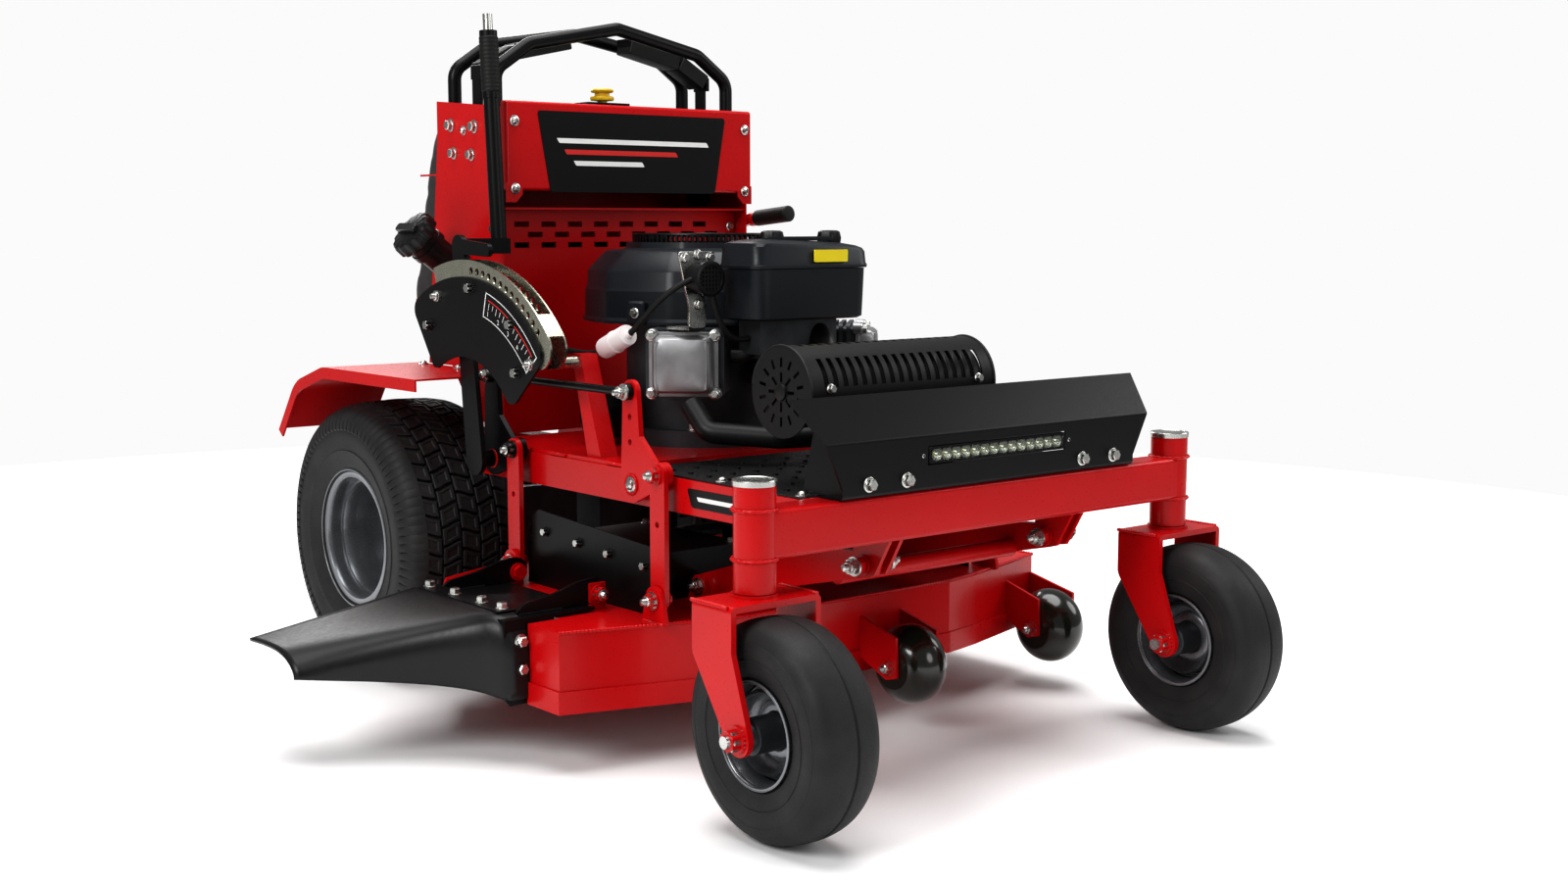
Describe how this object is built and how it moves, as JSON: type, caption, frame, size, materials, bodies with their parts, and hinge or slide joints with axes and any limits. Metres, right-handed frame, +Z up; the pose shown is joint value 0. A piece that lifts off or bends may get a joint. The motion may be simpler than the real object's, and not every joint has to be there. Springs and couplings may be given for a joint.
{
  "type": "zero turn mower",
  "caption": "Stand-on zero-turn mower with side-discharge deck, vertical-shaft engine, operator tower, front casters and treaded drive wheels.",
  "frame": {"origin": "on the ground, midway between the drive wheels, straight below their axle", "axes": "+X to the machine's left, +Y to its rear, +Z up; it drives towards -Y"},
  "size_m": [1.2218, 1.7757, 1.0885],
  "materials": {
    "red_paint": "gloss powder coat",
    "black_paint": "satin powder coat",
    "zinc": "bright zinc plate",
    "rim_silver": "silver paint",
    "tyre_rubber": "moulded",
    "black_plastic": "moulded",
    "cast_aluminium": "sand cast",
    "muffler_steel": "heat-dulled",
    "pad_foam": "vinyl cover",
    "flap_rubber": "moulded",
    "lens": "clear",
    "yellow_plastic": "moulded",
    "blade_steel": "ground",
    "belt_rubber": "woven backed"
  },
  "bodies": {
    "chassis": {"front_beam": "red_paint", "frame_rails": "red_paint", "engine_plate": "red_paint", "foot_plate": "black_paint", "fenders": "red_paint", "transaxles": "cast_aluminium", "tower_sides": "red_paint", "tower_front_cover": "red_paint", "tower_panels": "red_paint", "console_top": "red_paint", "back_pad": "pad_foam", "fuel_tank": "black_plastic", "hand_bars": "black_paint", "engine_block": "cast_aluminium", "rocker_covers": "cast_aluminium", "blower_housing": "black_plastic", "air_cleaner": "black_plastic", "muffler": "muffler_steel", "muffler_guard": "black_paint", "front_guard": "black_paint", "light_bar": "lens", "height_quadrant": "zinc", "quadrant_cover": "black_paint", "frame_fasteners": "zinc", "fuel_line": "black_plastic"},
    "crankshaft": {"cooling_screen": "black_plastic", "pto_clutch": "blade_steel"},
    "height_lever": {"height_lever": "black_paint"},
    "lever_button": {"lever_button": "zinc"},
    "front_crank": {"front_lift_crank": "red_paint"},
    "lift_rod": {"lift_rod": "black_paint"},
    "front_hangers": {"front_hangers": "red_paint"},
    "rear_hangers": {"rear_hangers": "red_paint"},
    "struts": {"deck_struts": "red_paint"},
    "deck": {"deck_shell": "red_paint", "belt_covers": "black_paint", "spindle_housings": "black_paint", "deck_belt": "belt_rubber"},
    "spindle_right": {"blade_spindle_right": "blade_steel"},
    "spindle_left": {"blade_spindle_left": "blade_steel"},
    "roller_centre": {"scalp_roller_centre": "black_plastic"},
    "roller_left": {"scalp_roller_left": "black_plastic"},
    "chute": {"chute_bracket": "black_paint", "chute_flap": "flap_rubber"},
    "platform": {"operator_platform": "black_paint"},
    "brake_lever": {"brake_lever": "red_paint"},
    "pto_knob": {"pto_knob": "yellow_plastic"},
    "fuel_cap": {"fuel_cap": "black_plastic"},
    "caster_right": {"caster_fork_right": "red_paint"},
    "caster_wheel_right": {"caster_tyre_right": "tyre_rubber", "caster_rim_right": "rim_silver"},
    "drive_wheel_right": {"drive_tyre_right": "tyre_rubber", "drive_rim_right": "rim_silver"},
    "steering_lever_right": {"steering_lever_right": "black_paint"},
    "caster_left": {"caster_fork_left": "red_paint"},
    "caster_wheel_left": {"caster_tyre_left": "tyre_rubber", "caster_rim_left": "rim_silver"},
    "drive_wheel_left": {"drive_tyre_left": "tyre_rubber", "drive_rim_left": "rim_silver"},
    "steering_lever_left": {"steering_lever_left": "black_paint"}
  },
  "joints": [
    {"name": "caster_swivel_right", "type": "hinge", "parent": "chassis", "child": "caster_right", "pos_m": [-0.4, -1.062, 0.303], "axis": [0, 0, 1], "continuous": true},
    {"name": "caster_spin_right", "type": "hinge", "parent": "caster_right", "child": "caster_wheel_right", "pos_m": [-0.4, -1.116, 0.1397], "axis": [1, 0, 0], "continuous": true},
    {"name": "drive_spin_right", "type": "hinge", "parent": "chassis", "child": "drive_wheel_right", "pos_m": [-0.315, 0, 0.2286], "axis": [1, 0, 0], "continuous": true},
    {"name": "steering_right", "type": "hinge", "parent": "chassis", "child": "steering_lever_right", "pos_m": [-0.232, -0.126, 0.8], "axis": [1, 0, 0], "range_deg": [-5, 5], "stiffness_Nm_per_rad": 12},
    {"name": "caster_swivel_left", "type": "hinge", "parent": "chassis", "child": "caster_left", "pos_m": [0.4, -1.062, 0.303], "axis": [0, 0, 1], "continuous": true},
    {"name": "caster_spin_left", "type": "hinge", "parent": "caster_left", "child": "caster_wheel_left", "pos_m": [0.4, -1.116, 0.1397], "axis": [1, 0, 0], "continuous": true},
    {"name": "drive_spin_left", "type": "hinge", "parent": "chassis", "child": "drive_wheel_left", "pos_m": [0.315, 0, 0.2286], "axis": [1, 0, 0], "continuous": true},
    {"name": "steering_left", "type": "hinge", "parent": "chassis", "child": "steering_lever_left", "pos_m": [0.232, -0.126, 0.8], "axis": [1, 0, 0], "range_deg": [-5, 5], "stiffness_Nm_per_rad": 12},
    {"name": "crank_spin", "type": "hinge", "parent": "chassis", "child": "crankshaft", "pos_m": [0, -0.44, 0.5], "axis": [0, 0, 1], "continuous": true},
    {"name": "deck_lift", "type": "slide", "parent": "chassis", "child": "deck", "axis": [0, 0.2776, 0.9607], "range_m": [-0.03955, 0], "deforming": ["deck_belt"]},
    {"name": "height_lever_swing", "type": "hinge", "parent": "chassis", "child": "height_lever", "pos_m": [-0.3, -0.3, 0.386], "axis": [1, 0, 0], "range_deg": [0, 29.39]},
    {"name": "lever_button_press", "type": "slide", "parent": "height_lever", "child": "lever_button", "axis": [0, -0.0571, -0.9984], "range_m": [0, 0.01], "stiffness_N_per_m": 300},
    {"name": "front_crank_turn", "type": "hinge", "parent": "chassis", "child": "front_crank", "pos_m": [0, -0.679, 0.386], "axis": [1, 0, 0], "range_deg": [0, 29.39]},
    {"name": "lift_rod_turn", "type": "hinge", "parent": "front_crank", "child": "lift_rod", "pos_m": [0, -0.676, 0.518], "axis": [1, 0, 0], "range_deg": [-29.39, 0]},
    {"name": "front_hanger_turn", "type": "hinge", "parent": "front_crank", "child": "front_hangers", "pos_m": [0, -0.752, 0.408], "axis": [1, 0, 0], "range_deg": [-32.46, 0]},
    {"name": "rear_hanger_turn", "type": "hinge", "parent": "height_lever", "child": "rear_hangers", "pos_m": [0, -0.373, 0.408], "axis": [1, 0, 0], "range_deg": [-32.46, 0]},
    {"name": "strut_turn", "type": "hinge", "parent": "chassis", "child": "struts", "pos_m": [0, -1.03, 0.306], "axis": [1, 0, 0], "range_deg": [-6.6, 0]},
    {"name": "blade_spin_left", "type": "hinge", "parent": "deck", "child": "spindle_left", "pos_m": [0.222, -0.475, 0.2], "axis": [0, 0, 1], "continuous": true},
    {"name": "blade_spin_right", "type": "hinge", "parent": "deck", "child": "spindle_right", "pos_m": [-0.222, -0.565, 0.2], "axis": [0, 0, 1], "continuous": true},
    {"name": "roller_spin_centre", "type": "hinge", "parent": "deck", "child": "roller_centre", "pos_m": [0.056, -0.864, 0.104], "axis": [1, 0, 0], "continuous": true},
    {"name": "roller_spin_left", "type": "hinge", "parent": "deck", "child": "roller_left", "pos_m": [0.424, -0.807, 0.1], "axis": [1, 0, 0], "continuous": true},
    {"name": "chute_fold", "type": "hinge", "parent": "deck", "child": "chute", "pos_m": [-0.342, -0.5, 0.224], "axis": [0, 1, 0], "range_deg": [0, 75]},
    {"name": "platform_fold", "type": "hinge", "parent": "chassis", "child": "platform", "pos_m": [0, 0.3, 0.215], "axis": [1, 0, 0], "range_deg": [0, 85]},
    {"name": "brake_pull", "type": "hinge", "parent": "chassis", "child": "brake_lever", "pos_m": [0.258, -0.15, 0.742], "axis": [1, 0, 0], "range_deg": [0, 40]},
    {"name": "pto_pull", "type": "slide", "parent": "chassis", "child": "pto_knob", "axis": [0, 0, 1], "range_m": [0, 0.01]},
    {"name": "fuel_cap_lift", "type": "slide", "parent": "chassis", "child": "fuel_cap", "axis": [-0.7849, 0, 0.6196], "range_m": [0, 0.06]}
  ],
  "couplings": [
    {"joint": "height_lever_swing", "follows": "deck_lift", "rad_per_m": -12.746},
    {"joint": "front_crank_turn", "follows": "deck_lift", "rad_per_m": -12.746},
    {"joint": "lift_rod_turn", "follows": "deck_lift", "rad_per_m": 12.746},
    {"joint": "front_hanger_turn", "follows": "deck_lift", "rad_per_m": 14.101},
    {"joint": "rear_hanger_turn", "follows": "deck_lift", "rad_per_m": 14.101},
    {"joint": "strut_turn", "follows": "deck_lift", "rad_per_m": 2.6922},
    {"joint": "blade_spin_right", "follows": "blade_spin_left", "ratio": 1},
    {"joint": "crank_spin", "follows": "blade_spin_left", "ratio": 1.1758}
  ]
}
